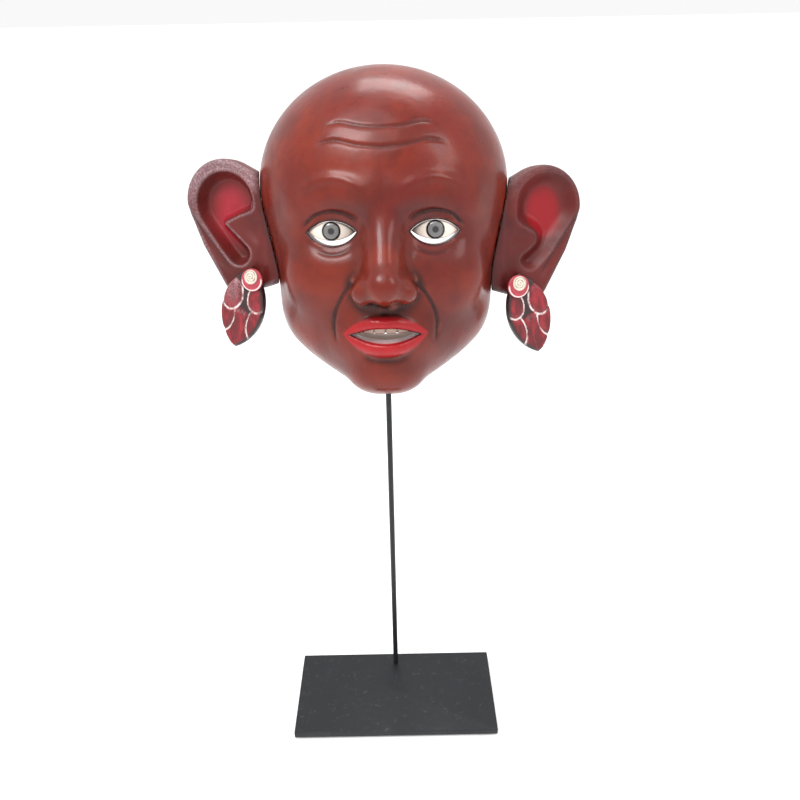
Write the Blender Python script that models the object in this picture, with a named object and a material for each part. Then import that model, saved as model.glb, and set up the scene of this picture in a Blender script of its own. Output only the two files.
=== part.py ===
"""Carved wooden folk mask on an iron display stand.

The face shell, ears and ear ornaments are separate carvings, pegged and inlaid together.
The mask drops over a pin at the top of the stand's rod: it lifts straight off, and it turns on the pin.

Carved parts are laid out in the mask's own frame, in millimetres: x to the viewer's right,
f forward from the flat back rim, z up from eye level. face_to_mask() turns that into metres
around the socket mouth, where the mask_frame empty stands.
"""

import math

import bmesh
import bpy
import numpy as np
from mathutils import Vector

MM = 0.001
GAP = 0.3  # clearance between touching pieces

# Stand
PLATE = (160.0, 80.0, 5.0)
PLATE_EDGE = 0.6
PAD_INSET = 3.0
PAD_THICK = 1.5
ROD_R = 2.0
ROD_TO_BACK_EDGE = 9.8
ROD_HEIGHT = 273.0  # visible rod, from the plate's top to the shoulder
PIN_R = 1.5  # the rod is turned down to this at both ends
PIN_LENGTH = 20.0
NUT_R = 3.2
NUT_THICK = 2.4
NUT_POCKET_R = 3.8
WASHER_R = 4.5
WASHER_THICK = 2.0

# Mask
TILT_DEG = 13.0  # the mask leans back on its pin
SOCKET_F = 10.0
SOCKET_Z = -101.6
SOCKET_R = 1.9
SOCKET_DEPTH = 22.0
SEAT_R = 6.0
SEAT_RISE = 1.7  # the flat seat is cut this far into the rounded chin
RINGS = 40
SECTORS = 64
HOLLOW_RINGS = 14

# Eyes: an almond opening in the lids, an inlay that leaves a sight slit under it, and a domed iris
EYE_X = 31.0
EYE_HALF_WIDTH = 15.0
EYE_UPPER = 6.5
OPENING_LOWER = 8.2
INLAY_LOWER = 5.0
INLAY_BACK_F = 50.0
EYEBALL_F = 43.0
EYEBALL_R = 20.0
IRIS_R = 5.0
IRIS_Z = 0.6
IRIS_SEAT_F = 57.5
IRIS_RIM_F = 62.4
IRIS_DOME = 1.3

# Mouth: a lens-shaped opening, and a curved strip of teeth seated behind the upper lip
MOUTH_Z = -61.5
MOUTH_HALF_WIDTH = 21.0
MOUTH_HALF_HEIGHT = 4.4
TEETH_CENTRE_F = 36.0
TEETH_INNER_R = 26.0
TEETH_OUTER_R = 30.5
TEETH_HALF_ANGLE = 42.0
TEETH_LOW_Z = -61.2
TEETH_HIGH_Z = -52.5

# Ears: plates that flare from the sides of the head, swept back by EAR_YAW_DEG
EAR_X = 80.0
EAR_F = 13.0
EAR_RISE = {"left": 3.5, "right": -4.0}  # the ears are not quite level
EAR_YAW_DEG = 15.0
EAR_THICK = 16.0
EAR_EDGE = 4.5
EAR_CIRCLES = ((24.0, 16.0, 27.0), (18.0, -33.0, 11.0), (-8.0, 14.0, 12.0), (-14.0, -26.0, 10.0))
CONCHA_CIRCLES = ((25.0, 17.0, 18.5), (16.0, -16.0, 7.5))
CONCHA_DEPTH = 9.0
PEG_R = 2.5
PEG_LENGTH = 15.0
PEGS = ((69.5, 16.0), (67.5, -10.0))  # inner end's x, and height

# Ear ornaments: a leaf and a round boss on one pin through the ear lobe
ORNAMENT = (3.0, -34.0)
LEAF_CENTRE = (12.5, -52.5)
LEAF_HALF_LENGTH = 28.0
LEAF_HALF_WIDTH = 15.0
LEAF_TILT_DEG = 17.0
LEAF_THICK = 6.0
BOSS_R = 7.5
BOSS_THICK = 3.5
ORNAMENT_PIN_R = 1.5
ORNAMENT_PIN_IN = 9.0

STAND_TOP = PAD_THICK + GAP + PLATE[2]
ROD_Y = PLATE[1] / 2 - ROD_TO_BACK_EDGE
SHOULDER_Z = STAND_TOP + GAP + ROD_HEIGHT
SOCKET_WORLD_Z = SHOULDER_Z + WASHER_THICK + 2 * GAP - SEAT_RISE

LACQUER = ((0.30, 0.045, 0.028), 0.35, 0.0)
EAR_RED = ((0.22, 0.035, 0.032), 0.4, 0.0)
LEAF_RED = ((0.30, 0.03, 0.045), 0.45, 0.0)
CREAM = ((0.62, 0.50, 0.38), 0.4, 0.0)
IRIS_GREY = ((0.12, 0.12, 0.12), 0.15, 0.0)
BARE_WOOD = ((0.45, 0.28, 0.15), 0.7, 0.0)
BLACK_IRON = ((0.025, 0.028, 0.034), 0.5, 0.6)
STEEL = ((0.45, 0.45, 0.47), 0.35, 1.0)
LEATHER = ((0.10, 0.05, 0.03), 0.8, 0.0)
PAD_RUBBER = ((0.02, 0.02, 0.022), 0.95, 0.0)


# ---------------------------------------------------------------- distance fields of the face


def ellipsoid(p, centre, radii):
    q = (p - np.array(centre)) / np.array(radii)
    scaled = np.linalg.norm(q, axis=-1)
    slope = np.linalg.norm(q / np.array(radii), axis=-1)
    return scaled * (scaled - 1.0) / np.maximum(slope, 1e-9)


def capsule(p, start, end, start_r, end_r):
    start, end = np.array(start), np.array(end)
    along = end - start
    t = np.clip((p - start) @ along / (along @ along), 0.0, 1.0)
    nearest = start + t[..., None] * along
    return np.linalg.norm(p - nearest, axis=-1) - (start_r + (end_r - start_r) * t)


def join(a, b, blend):
    """Smooth union: the two shapes run into each other over the blend distance."""
    h = np.clip(0.5 + 0.5 * (b - a) / blend, 0.0, 1.0)
    return b * (1 - h) + a * h - blend * h * (1 - h)


def carve(a, b, blend):
    """Shape a with shape b cut out of it, the edge rounded over the blend distance."""
    return -join(-a, b, blend)


def along_path(p, points, radii):
    spans = zip(points[:-1], points[1:], radii[:-1], radii[1:])
    return np.min([capsule(p, a, b, ra, rb) for a, b, ra, rb in spans], axis=0)


def lip_path(reach, centre_f, sag, heights, thick, steps=7):
    """Points and radii of one lip from the middle of the mouth to its corner."""
    points, radii = [], []
    for i in range(steps + 1):
        t = i / steps
        middle, peak, corner = heights
        bow = 4 * (peak - middle) * min(t, 0.22) / 0.88
        points.append((reach * t, centre_f - sag * t * t, middle + bow + (corner - middle - bow) * t**2.2))
        radii.append(thick * (1 - t * t) + 1.0)
    return points, radii


def face_field(points):
    """Distance from the outer surface of the head, in millimetres, negative inside."""
    p = points.copy()
    p[..., 0] = np.abs(p[..., 0])
    d = ellipsoid(p, (0, 0, 27), (82, 74, 75))
    d = join(d, ellipsoid(p, (0, 2, -31), (71, 66, 69)), 24)  # lower face
    d = join(d, capsule(p, (41, 19, -53), (9, 43, -83), 22, 18), 20)  # jaw
    d = join(d, ellipsoid(p, (34, 47, -27), (24, 16, 20)), 20)  # cheek
    d = join(d, capsule(p, (8, 63, 19), (48, 45, 18), 8, 6), 14)  # brow
    d = carve(d, ellipsoid(p, (31, 75, 0.5), (19, 13, 11)), 12)  # eye socket
    d = join(d, ellipsoid(p, (EYE_X, 46, -0.5), (19, 18.5, 12.5)), 4)  # eyelids
    d = join(d, capsule(p, (0, 60, 12), (0, 72, -26), 8, 14), 9)  # nose, where it meets the face
    d = join(d, capsule(p, (0, 66, 10), (0, 84, -27), 6, 8), 8)  # nose ridge
    d = join(d, ellipsoid(p, (0, 86, -31), (10.5, 9.5, 9.5)), 6)  # nose tip
    d = join(d, ellipsoid(p, (12.5, 77, -34), (8, 10.5, 8)), 6)  # nose wing
    d = join(d, capsule(p, (0, 66, -37), (0, 84, -36), 6, 4.5), 4)  # bar between the nostrils
    d = join(d, ellipsoid(p, (0, 49, -63), (31, 24, 24)), 14)  # mouth
    d = join(d, along_path(p, *lip_path(25, 71.5, 12, (-54.4, -53.6, -60.8), 3.6)), 2.5)  # upper lip
    d = join(d, along_path(p, *lip_path(24, 71.0, 11, (-68.8, -68.8, -62.2), 4.8)), 2.5)  # lower lip
    d = join(d, ellipsoid(p, (0, 51, -88), (19, 16.5, 13)), 12)  # chin
    return d


def hollow_field(p):
    """Distance from the surface of the hollow that the wearer's face goes into."""
    d = ellipsoid(p, (0, -4, 27), (70, 70, 64))
    d = join(d, ellipsoid(p, (0, -4, -24), (59, 60, 48)), 16)
    d = join(d, ellipsoid(p, (0, 38, -60), (27, 24, 11)), 8)  # room behind the lips
    d = join(d, ellipsoid(p, (0, 58, -30), (7, 14, 9)), 4)  # room under the nose
    return d


def ring_of_points(field, tilt_share, offset):
    """One ring of a surface: rays from the middle of the rim, at one angle from straight ahead."""
    away = math.radians(90.0 * tilt_share)
    turn = (np.arange(SECTORS) + 0.5) * 2 * math.pi / SECTORS
    rays = np.stack(
        [math.sin(away) * np.cos(turn), np.full(SECTORS, math.cos(away)), math.sin(away) * np.sin(turn)],
        axis=-1,
    )
    near, far = np.zeros(SECTORS), np.full(SECTORS, 160.0)
    for _ in range(36):
        middle = (near + far) / 2
        outside = field(rays * middle[:, None]) > offset
        far = np.where(outside, middle, far)
        near = np.where(outside, near, middle)
    return rays * near[:, None]


# ---------------------------------------------------------------- making Blender objects


def face_to_mask(x, f, z):
    return Vector((x, SOCKET_F - f, z - SOCKET_Z)) * MM


def material(name, look):
    colour, roughness, metallic = look
    made = bpy.data.materials.get(name)
    if made is None:
        made = bpy.data.materials.new(name)
        made.use_nodes = True
        shader = made.node_tree.nodes["Principled BSDF"]
        shader.inputs["Base Color"].default_value = (*colour, 1.0)
        shader.inputs["Roughness"].default_value = roughness
        shader.inputs["Metallic"].default_value = metallic
        made.diffuse_color = (*colour, 1.0)
    return made


def finish_mesh(bm, name, look=None, parent=None, location=(0, 0, 0), rotation=(0, 0, 0)):
    bmesh.ops.recalc_face_normals(bm, faces=bm.faces)
    mesh = bpy.data.meshes.new(name)
    bm.to_mesh(mesh)
    bm.free()
    mesh.shade_smooth()
    mesh.set_sharp_from_angle(angle=math.radians(40))
    made = bpy.data.objects.new(name, mesh)
    bpy.context.scene.collection.objects.link(made)
    made.parent = parent
    made.location = location
    made.rotation_euler = rotation
    if look is None:  # a cutter
        made.hide_render = True
        made.display_type = "WIRE"
    else:
        mesh.materials.append(material(name + "_finish", look))
    return made


def cut(target, *cutters):
    for cutter in cutters:
        boolean = target.modifiers.new("cut_" + cutter.name, "BOOLEAN")
        boolean.operation = "DIFFERENCE"
        boolean.solver = "EXACT"
        boolean.object = cutter


def keep_common(target, other):
    boolean = target.modifiers.new("keep_" + other.name, "BOOLEAN")
    boolean.operation = "INTERSECT"
    boolean.solver = "EXACT"
    boolean.object = other


def round_edges(made, width, segments=2, angle_deg=50):
    bevel = made.modifiers.new("rounded", "BEVEL")
    bevel.width = width * MM
    bevel.segments = segments
    bevel.limit_method = "ANGLE"
    bevel.angle_limit = math.radians(angle_deg)


def prism(name, outline, depth_from, depth_to, **placing):
    """An outline in the x-z plane, in millimetres, extruded along f between two depths."""
    bm = bmesh.new()
    back = [bm.verts.new(Vector((x, -depth_from, z)) * MM) for x, z in outline]
    face = bm.faces.new(back)
    pushed = bmesh.ops.extrude_face_region(bm, geom=[face])["geom"]
    moved = [v for v in pushed if isinstance(v, bmesh.types.BMVert)]
    bmesh.ops.translate(bm, verts=moved, vec=Vector((0, depth_from - depth_to, 0)) * MM)
    return finish_mesh(bm, name, **placing)


def turned(name, profile, steps=24, **placing):
    """A profile of (radius, height) in millimetres, from the bottom up, spun about Z into a closed solid."""
    bm = bmesh.new()
    points = [(0.0, profile[0][1]), *profile, (0.0, profile[-1][1])]
    verts = [bm.verts.new((r * MM, 0, h * MM)) for r, h in points]
    edges = [bm.edges.new(pair) for pair in zip(verts[:-1], verts[1:])]
    bmesh.ops.spin(
        bm, geom=[*verts, *edges], axis=(0, 0, 1), cent=(0, 0, 0), steps=steps, angle=2 * math.pi
    )
    bmesh.ops.remove_doubles(bm, verts=bm.verts, dist=1e-6)
    return finish_mesh(bm, name, **placing)


def vesica(half_width, upper, lower, steps=10, centre=(0.0, 0.0)):
    """An almond outline: an upper and a lower circular arc that meet in two points."""
    outline = []
    for height, sign in ((upper, 1), (lower, -1)):
        radius = (half_width**2 + height**2) / (2 * height)
        reach = math.asin(half_width / radius)
        for i in range(steps):
            angle = reach * (1 - 2 * i / steps) * sign
            x = radius * math.sin(angle)
            z = sign * (radius * math.cos(angle) - radius + height)
            outline.append((centre[0] + x, centre[1] + z))
    return outline


def hull_of_circles(circles, steps=48, grow=0.0):
    """The outline of a belt drawn tight round some circles, each (x, z, radius)."""
    outline = []
    for i in range(steps):
        angle = 2 * math.pi * i / steps
        nx, nz = math.cos(angle), math.sin(angle)
        x, z, r = max(circles, key=lambda c: c[0] * nx + c[1] * nz + c[2])
        outline.append((x + nx * (r + grow), z + nz * (r + grow)))
    return outline


def turn_and_place(outline, degrees, centre):
    c, s = math.cos(math.radians(degrees)), math.sin(math.radians(degrees))
    return [(centre[0] + x * c - z * s, centre[1] + x * s + z * c) for x, z in outline]


def mirrored(outline, side):
    return [(side * x, z) for x, z in outline][::side]


# ---------------------------------------------------------------- the mask


def loft(bm, rings, nose_point):
    """Joins rings of vertices, outermost first, and closes the last one on a point."""
    for outer, inner in zip(rings[:-1], rings[1:]):
        for i in range(SECTORS):
            j = (i + 1) % SECTORS
            bm.faces.new((outer[i], outer[j], inner[j], inner[i]))
    tip = bm.verts.new(nose_point)
    for i in range(SECTORS):
        bm.faces.new((rings[-1][i], rings[-1][(i + 1) % SECTORS], tip))


def surface_rings(bm, field, count, offset=0.0):
    rings = []
    for ring in range(count):
        points = ring_of_points(field, 1 - ring / count, offset)
        rings.append([bm.verts.new(face_to_mask(*point)) for point in points])
    return rings


def surface_tip(field, offset=0.0):
    return face_to_mask(*ring_of_points(field, 0.0, offset)[0])


def face_shell(mask):
    """The carved face: the head's surface outside, the wearer's hollow inside, and a flat rim between."""
    bm = bmesh.new()
    outside = surface_rings(bm, face_field, RINGS)
    inside = surface_rings(bm, hollow_field, HOLLOW_RINGS)
    loft(bm, outside, surface_tip(face_field))
    loft(bm, inside, surface_tip(hollow_field))
    for i in range(SECTORS):
        j = (i + 1) % SECTORS
        bm.faces.new((outside[0][i], outside[0][j], inside[0][j], inside[0][i]))
    return finish_mesh(bm, "face_shell", LACQUER, mask)


def head_cutter(mask):
    """The head's outer surface, grown by the gap and deepened behind the rim, to trim the ears with."""
    bm = bmesh.new()
    rings = surface_rings(bm, face_field, RINGS, GAP)
    loft(bm, rings, surface_tip(face_field, GAP))
    behind = [bm.verts.new(v.co + Vector((0, 20 * MM, 0))) for v in rings[0]]
    for i in range(SECTORS):
        j = (i + 1) % SECTORS
        bm.faces.new((rings[0][i], rings[0][j], behind[j], behind[i]))
    bm.faces.new(behind)
    return finish_mesh(bm, "head_cutter", parent=mask)


def eye_pieces(mask, shell, side, label):
    """The almond opening through the lids, the inlay in it, and the iris in the inlay's seat."""
    place = {"parent": mask, "location": face_to_mask(side * EYE_X, 0, 0)}
    opening = prism(
        f"eye_opening_{label}", vesica(EYE_HALF_WIDTH, EYE_UPPER, OPENING_LOWER), 30, 90, **place
    )
    cut(shell, opening)
    inset = EYE_HALF_WIDTH - 2 * GAP
    inlay = prism(
        f"{label}_eye_inlay",
        vesica(inset, EYE_UPPER - GAP, INLAY_LOWER),
        INLAY_BACK_F,
        80,
        look=CREAM,
        **place,
    )
    ball = bmesh.new()
    bmesh.ops.create_uvsphere(ball, u_segments=48, v_segments=32, radius=EYEBALL_R * MM)
    bmesh.ops.translate(ball, verts=ball.verts, vec=(0, -EYEBALL_F * MM, 0))
    keep_common(inlay, finish_mesh(ball, f"eyeball_{label}", **place))
    spin_forward = {
        "parent": mask,
        "location": face_to_mask(side * EYE_X, 0, IRIS_Z),
        "rotation": (math.radians(90), 0, 0),
    }
    seat = turned(
        f"iris_seat_{label}", [(IRIS_R + GAP, IRIS_SEAT_F - GAP), (IRIS_R + GAP, 80)], **spin_forward
    )
    cut(inlay, seat)
    dome = [
        (IRIS_R * math.cos(a), IRIS_RIM_F + IRIS_DOME * math.sin(a))
        for a in np.linspace(0, math.radians(75), 4)
    ]
    turned(f"{label}_iris", [(IRIS_R, IRIS_SEAT_F), *dome], look=IRIS_GREY, **spin_forward)


def arch_strip(name, inner_r, outer_r, half_angle, low, high, steps=12, **placing):
    """A strip bent round the dental arch: a sector of a ring, extruded upward."""
    bm = bmesh.new()
    angles = np.radians(np.linspace(-half_angle, half_angle, steps + 1))
    base = [(outer_r * math.sin(a), outer_r * math.cos(a)) for a in angles]
    base += [(inner_r * math.sin(a), inner_r * math.cos(a)) for a in angles[::-1]]
    bottom = [bm.verts.new(face_to_mask(x, TEETH_CENTRE_F + f, low)) for x, f in base]
    face = bm.faces.new(bottom)
    pushed = bmesh.ops.extrude_face_region(bm, geom=[face])["geom"]
    moved = [v for v in pushed if isinstance(v, bmesh.types.BMVert)]
    bmesh.ops.translate(bm, verts=moved, vec=(0, 0, (high - low) * MM))
    return finish_mesh(bm, name, **placing)


def mouth_pieces(mask, shell):
    opening = prism(
        "mouth_opening",
        vesica(MOUTH_HALF_WIDTH, MOUTH_HALF_HEIGHT, MOUTH_HALF_HEIGHT),
        30,
        100,
        parent=mask,
        location=face_to_mask(0, 0, MOUTH_Z),
    )
    grow_deg = math.degrees(GAP / TEETH_OUTER_R)
    pocket = arch_strip(
        "teeth_pocket",
        TEETH_INNER_R - 6,
        TEETH_OUTER_R + GAP,
        TEETH_HALF_ANGLE + grow_deg,
        MOUTH_Z,
        TEETH_HIGH_Z + GAP,
        parent=mask,
    )
    cut(shell, opening, pocket)
    arch_strip(
        "upper_teeth",
        TEETH_INNER_R,
        TEETH_OUTER_R,
        TEETH_HALF_ANGLE,
        TEETH_LOW_Z,
        TEETH_HIGH_Z,
        look=CREAM,
        parent=mask,
    )


def nostril(mask, shell, side, label):
    start, end = face_to_mask(side * 6.5, 90, -50), face_to_mask(side * 5.0, 62, -28)
    axis = end - start
    bore = turned(
        f"nostril_{label}",
        [(3.3, 0), (3.3, axis.length / MM)],
        parent=mask,
        location=start,
        rotation=axis.to_track_quat("Z", "Y").to_euler(),
    )
    cut(shell, bore)


def rod_socket(shell):
    """The flat seat under the thick chin, and the upright blind hole that drops over the stand's pin."""
    hole = turned(
        "rod_socket",
        [(SEAT_R, -12), (SEAT_R, SEAT_RISE), (SOCKET_R, SEAT_RISE), (SOCKET_R, SOCKET_DEPTH)],
        location=(0, ROD_Y * MM, SOCKET_WORLD_Z * MM),
    )
    cut(shell, hole)


def ear(mask, shell, trimmer, side, label):
    """One ear: a belt-shaped plate with a hollow concha, trimmed to the head and pegged to it."""
    frame = bpy.data.objects.new(f"ear_frame_{label}", None)
    bpy.context.scene.collection.objects.link(frame)
    frame.parent = mask
    frame.location = face_to_mask(side * EAR_X, EAR_F, EAR_RISE[label])
    frame.rotation_euler = (0, 0, side * math.radians(EAR_YAW_DEG))
    front, back = EAR_THICK / 2, -EAR_THICK / 2

    made = prism(
        f"{label}_ear",
        mirrored(hull_of_circles(EAR_CIRCLES), side),
        back,
        front,
        look=EAR_RED,
        parent=frame,
    )
    round_edges(made, EAR_EDGE)
    concha = prism(
        f"concha_{label}",
        mirrored(hull_of_circles(CONCHA_CIRCLES, steps=36), side),
        front - CONCHA_DEPTH,
        front + 20,
        parent=frame,
    )
    round_edges(concha, 5.0)

    for number, (x, z) in enumerate(PEGS, start=1):
        place = {
            "parent": mask,
            "location": face_to_mask(side * x, EAR_F, z),
            "rotation": (0, side * math.radians(90), 0),
        }
        hole = turned(
            f"peg_hole_{label}_{number}", [(PEG_R + GAP, -GAP), (PEG_R + GAP, PEG_LENGTH + GAP)], **place
        )
        cut(shell, hole)
        cut(made, hole)
        turned(
            f"{label}_ear_peg_{number}",
            [(PEG_R - 0.5, 0), (PEG_R, 0.8), (PEG_R, PEG_LENGTH - 0.8), (PEG_R - 0.5, PEG_LENGTH)],
            steps=16,
            look=BARE_WOOD,
            **place,
        )
    ornament(frame, made, side, label, front)
    cut(made, concha, trimmer)


def ornament(frame, lobe, side, label, front):
    """The leaf and the boss in front of it, on a pin through the lobe."""
    leaf_back = front + GAP
    leaf_front = leaf_back + LEAF_THICK
    boss_back = leaf_front + GAP
    boss_front = boss_back + BOSS_THICK
    x, z = side * ORNAMENT[0], ORNAMENT[1]

    outline = vesica(LEAF_HALF_LENGTH, LEAF_HALF_WIDTH, LEAF_HALF_WIDTH, steps=14)
    outline = turn_and_place(outline, 90 + LEAF_TILT_DEG, LEAF_CENTRE)
    leaf = prism(
        f"{label}_earring_leaf", mirrored(outline, side), leaf_back, leaf_front, look=LEAF_RED, parent=frame
    )
    round_edges(leaf, 1.6)

    forward = {"parent": frame, "location": Vector((x, 0, z)) * MM, "rotation": (math.radians(90), 0, 0)}
    hole = turned(
        f"ornament_hole_{label}",
        [
            (ORNAMENT_PIN_R + GAP, leaf_back - ORNAMENT_PIN_IN - GAP),
            (ORNAMENT_PIN_R + GAP, boss_front - 1.2),
        ],
        **forward,
    )
    cut(leaf, hole)
    cut(lobe, hole)
    boss = turned(
        f"{label}_earring_boss",
        [
            (BOSS_R, boss_back),
            (BOSS_R, boss_back + 1.8),
            (BOSS_R - 1.2, boss_front - 0.4),
            (BOSS_R - 3.5, boss_front),
        ],
        look=LEAF_RED,
        **forward,
    )
    cut(boss, hole)
    turned(
        f"{label}_earring_pin",
        [(ORNAMENT_PIN_R, leaf_back - ORNAMENT_PIN_IN), (ORNAMENT_PIN_R, boss_front - 1.2 - GAP)],
        steps=12,
        look=BARE_WOOD,
        **forward,
    )


# ---------------------------------------------------------------- the stand


def upright_rod():
    """The rod, turned down to a pin at the top and to a threaded spigot through the plate below."""
    spigot_end = -PLATE[2] + 0.4
    profile = [
        (PIN_R, spigot_end),
        (PIN_R, GAP),
        (ROD_R, GAP),
        (ROD_R, GAP + ROD_HEIGHT),
        (PIN_R, GAP + ROD_HEIGHT),
        (PIN_R, GAP + ROD_HEIGHT + PIN_LENGTH - 1),
        (PIN_R - 0.6, GAP + ROD_HEIGHT + PIN_LENGTH),
    ]
    turned("upright_rod", profile, steps=20, look=BLACK_IRON, location=(0, ROD_Y * MM, STAND_TOP * MM))


def base_plate():
    thick = PLATE[2]
    bm = bmesh.new()
    bmesh.ops.create_cube(bm, size=1.0)
    bmesh.ops.scale(bm, verts=bm.verts, vec=Vector(PLATE) * MM)
    plate = finish_mesh(bm, "base_plate", BLACK_IRON, location=(0, 0, (STAND_TOP - thick / 2) * MM))
    round_edges(plate, PLATE_EDGE)
    hole = turned(
        "plate_hole",
        [
            (NUT_POCKET_R, -thick - 1),
            (NUT_POCKET_R, -thick + NUT_THICK + 2 * GAP),
            (PIN_R + GAP, -thick + NUT_THICK + 2 * GAP),
            (PIN_R + GAP, 1),
        ],
        location=(0, ROD_Y * MM, STAND_TOP * MM),
    )
    cut(plate, hole)


def base_nut():
    """The thin hexagon nut that holds the rod, sunk in the plate's underside."""
    bm = bmesh.new()
    bmesh.ops.create_cone(
        bm, cap_ends=True, segments=6, radius1=NUT_R * MM, radius2=NUT_R * MM, depth=NUT_THICK * MM
    )
    centre_z = STAND_TOP - PLATE[2] + GAP + NUT_THICK / 2
    nut = finish_mesh(bm, "base_nut", STEEL, location=(0, ROD_Y * MM, centre_z * MM))
    bore = turned(
        "nut_bore", [(PIN_R + GAP, -5), (PIN_R + GAP, 5)], steps=16, location=(0, ROD_Y * MM, centre_z * MM)
    )
    cut(nut, bore)


def base_pad():
    bm = bmesh.new()
    bmesh.ops.create_cube(bm, size=1.0)
    size = Vector((PLATE[0] - 2 * PAD_INSET, PLATE[1] - 2 * PAD_INSET, PAD_THICK))
    bmesh.ops.scale(bm, verts=bm.verts, vec=size * MM)
    finish_mesh(bm, "base_pad", PAD_RUBBER, location=(0, 0, PAD_THICK / 2 * MM))


def rest_washer():
    """The leather washer on the rod's shoulder that the mask stands and turns on."""
    bm = bmesh.new()
    inner, outer = PIN_R + GAP, WASHER_R
    profile = [(inner, 0), (outer, 0), (outer, WASHER_THICK), (inner, WASHER_THICK)]
    verts = [bm.verts.new((r * MM, 0, h * MM)) for r, h in profile]
    edges = [bm.edges.new((verts[i], verts[(i + 1) % 4])) for i in range(4)]
    bmesh.ops.spin(
        bm, geom=[*verts, *edges], axis=(0, 0, 1), cent=(0, 0, 0), steps=24, angle=2 * math.pi
    )
    bmesh.ops.remove_doubles(bm, verts=bm.verts, dist=1e-6)
    finish_mesh(bm, "rest_washer", LEATHER, location=(0, ROD_Y * MM, (SHOULDER_Z + GAP) * MM))


def build():
    for old in list(bpy.data.objects):
        bpy.data.objects.remove(old)
    base_pad()
    base_plate()
    base_nut()
    upright_rod()
    rest_washer()

    mask = bpy.data.objects.new("mask_frame", None)
    bpy.context.scene.collection.objects.link(mask)
    mask.location = (0, ROD_Y * MM, SOCKET_WORLD_Z * MM)
    mask.rotation_euler = (-math.radians(TILT_DEG), 0, 0)
    shell = face_shell(mask)
    trimmer = head_cutter(mask)
    mouth_pieces(mask, shell)
    rod_socket(shell)
    for side, label in ((-1, "left"), (1, "right")):
        eye_pieces(mask, shell, side, label)
        nostril(mask, shell, side, label)
        ear(mask, shell, trimmer, side, label)


build()
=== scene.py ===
"""Looks of the carved wooden mask on its iron display stand.

The carved pieces are sculpted as distance fields, in millimetres, in the mask's own frame: x to the
viewer's right, f forward from the flat back rim, z up from eye level. The head's field is the one that
its CAD solid follows, with the finer carving added. sculpt() turns a field into a mesh, and each vertex
keeps what its paint needs (grooves with their dark wash and painted shade, worn edges with a painted
highlight, lips) as attributes that the materials read.
"""

import math

import bmesh
import bpy
import numpy as np
from mathutils import Euler, Matrix, Vector


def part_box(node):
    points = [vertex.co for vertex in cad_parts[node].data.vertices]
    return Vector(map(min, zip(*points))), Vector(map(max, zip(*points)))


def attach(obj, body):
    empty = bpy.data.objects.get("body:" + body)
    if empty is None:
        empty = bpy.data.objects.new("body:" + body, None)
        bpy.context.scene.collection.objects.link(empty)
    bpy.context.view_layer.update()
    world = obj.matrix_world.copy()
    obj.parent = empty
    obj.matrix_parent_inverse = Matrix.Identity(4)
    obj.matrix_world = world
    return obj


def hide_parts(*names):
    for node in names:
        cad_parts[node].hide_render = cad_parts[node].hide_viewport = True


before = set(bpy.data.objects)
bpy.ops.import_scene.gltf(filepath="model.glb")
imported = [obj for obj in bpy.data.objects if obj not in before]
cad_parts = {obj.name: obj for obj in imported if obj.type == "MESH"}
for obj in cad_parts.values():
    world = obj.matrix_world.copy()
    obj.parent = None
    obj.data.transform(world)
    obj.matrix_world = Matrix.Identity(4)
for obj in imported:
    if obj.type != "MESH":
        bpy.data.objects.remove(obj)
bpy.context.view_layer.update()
MM = 0.001
GAP = 0.3
SHRINK = 0.35  # smooth carvings stay this far inside the faceted solids' curves

# The mask's own frame, from the part: its socket mouth stands over the washer on the rod
TILT = math.radians(13.0)
SOCKET_F = 10.0
SOCKET_Z = -101.6
SOCKET_R, SOCKET_DEPTH = 1.9, 22.0
SEAT_R, SEAT_RISE = 6.0, 1.7
WASHER_LOW, WASHER_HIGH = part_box("rest_washer")
ROD_Y = (WASHER_LOW.y + WASHER_HIGH.y) / 2
SOCKET_HEIGHT = WASHER_HIGH.z + (GAP - SEAT_RISE) * MM
MASK = Matrix.Translation((0, ROD_Y, SOCKET_HEIGHT)) @ Matrix.Rotation(-TILT, 4, "X")
FACE = MASK @ Matrix.Translation((0, SOCKET_F * MM, -SOCKET_Z * MM))

EYE_X = 31.0
EYE_HALF_WIDTH, EYE_UPPER, OPENING_LOWER, INLAY_LOWER = 15.0, 6.5, 8.2, 5.0
INLAY_BACK_F, EYEBALL_F, EYEBALL_R = 50.0, 43.0, 20.0
IRIS_R, IRIS_Z, IRIS_SEAT_F, IRIS_RIM_F, IRIS_DOME = 5.0, 0.6, 57.5, 62.4, 1.3

MOUTH_Z, MOUTH_HALF_WIDTH, MOUTH_HALF_HEIGHT, MOUTH_BACK_F = -61.5, 21.0, 4.4, 30.0
TEETH_CENTRE_F, TEETH_INNER_R, TEETH_OUTER_R, TEETH_HALF_ANGLE = 36.0, 26.0, 30.5, 42.0
TEETH_LOW_Z, TEETH_HIGH_Z = -61.2, -52.5
TEETH_COUNT, POCKET_BEHIND_TEETH = 6, 6
NOSTRIL = ((6.8, 90, -50), (5.0, 62, -28), 3.4, 3.2)  # two centres and their radii

EAR_X, EAR_F, EAR_YAW, EAR_THICK = 80.0, 13.0, math.radians(15.0), 16.0
EAR_RISE = {"left": 3.5, "right": -4.0}
EAR_CIRCLES = ((24.0, 16.0, 27.0), (18.0, -33.0, 11.0), (-8.0, 14.0, 12.0), (-14.0, -26.0, 10.0))
CONCHA_CIRCLES = {
    "left": ((22.5, 14.5, 20.5), (15.0, -17.0, 8.5)),
    "right": ((26.0, 16.5, 21.5), (15.0, -16.0, 8.0)),
}
CONCHA_DEPTH = 9.0
PEG_R, PEG_LENGTH, PEGS = 2.5, 15.0, ((69.5, 16.0), (67.5, -10.0))

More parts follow.
